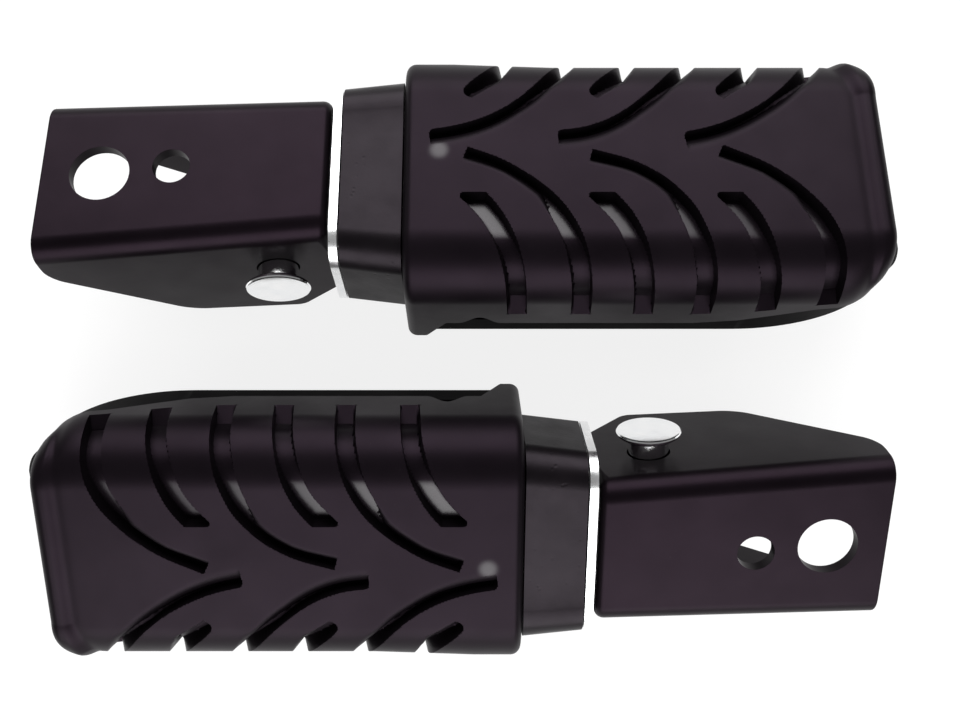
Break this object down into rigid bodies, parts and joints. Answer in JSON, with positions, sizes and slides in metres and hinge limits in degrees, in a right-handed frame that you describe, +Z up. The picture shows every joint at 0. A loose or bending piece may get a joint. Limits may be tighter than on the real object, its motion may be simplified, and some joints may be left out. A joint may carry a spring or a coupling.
{
  "type": "folding passenger footpeg pair",
  "caption": "Pair of folding motorcycle passenger footpegs: pressed channel brackets, clevis pins and grooved rubber treads over hull-shaped undersides, lying on their backs.",
  "frame": {"origin": "on the surface the pair lies on, midway between the two pegs", "axes": "+X along the pegs' length, towards the tip of the left peg, +Z up out of the surface, and the left peg lies on the +Y side"},
  "size_m": [0.186, 0.119, 0.0441],
  "materials": {
    "black powder coat": "satin",
    "black painted casting": "satin",
    "black moulded rubber": "satin",
    "black moulded plastic": "satin",
    "bright zinc plate": "satin",
    "plain steel": "satin",
    "bronze": "satin"
  },
  "bodies": {
    "brackets": {"left_bracket": "black powder coat", "left_hinge_pin": "bright zinc plate", "left_pin_washer": "bright zinc plate", "left_split_pin": "bright zinc plate", "right_bracket": "black powder coat", "right_hinge_pin": "bright zinc plate", "right_pin_washer": "bright zinc plate", "right_split_pin": "bright zinc plate"},
    "left_peg": {"left_arm": "plain steel", "left_eye_bush": "bronze", "left_thrust_washer": "plain steel", "left_spring_washer": "plain steel", "left_face_plate": "bright zinc plate", "left_collar": "black painted casting", "left_roll_pin": "plain steel", "left_rubber": "black moulded rubber", "left_hull": "black moulded plastic", "left_screw_1": "bright zinc plate", "left_screw_2": "bright zinc plate"},
    "right_peg": {"right_arm": "plain steel", "right_eye_bush": "bronze", "right_thrust_washer": "plain steel", "right_spring_washer": "plain steel", "right_face_plate": "bright zinc plate", "right_collar": "black painted casting", "right_roll_pin": "plain steel", "right_rubber": "black moulded rubber", "right_hull": "black moulded plastic", "right_screw_1": "bright zinc plate", "right_screw_2": "bright zinc plate"}
  },
  "joints": [
    {"name": "left_fold", "type": "hinge", "parent": "brackets", "child": "left_peg", "pos_m": [-0.038, 0.0331, 0.02368], "axis": [-0.061, 0.9438, -0.325], "range_deg": [0, 80]},
    {"name": "right_fold", "type": "hinge", "parent": "brackets", "child": "right_peg", "pos_m": [0.038, -0.0331, 0.02368], "axis": [0.061, -0.9438, -0.325], "range_deg": [0, 80]}
  ]
}
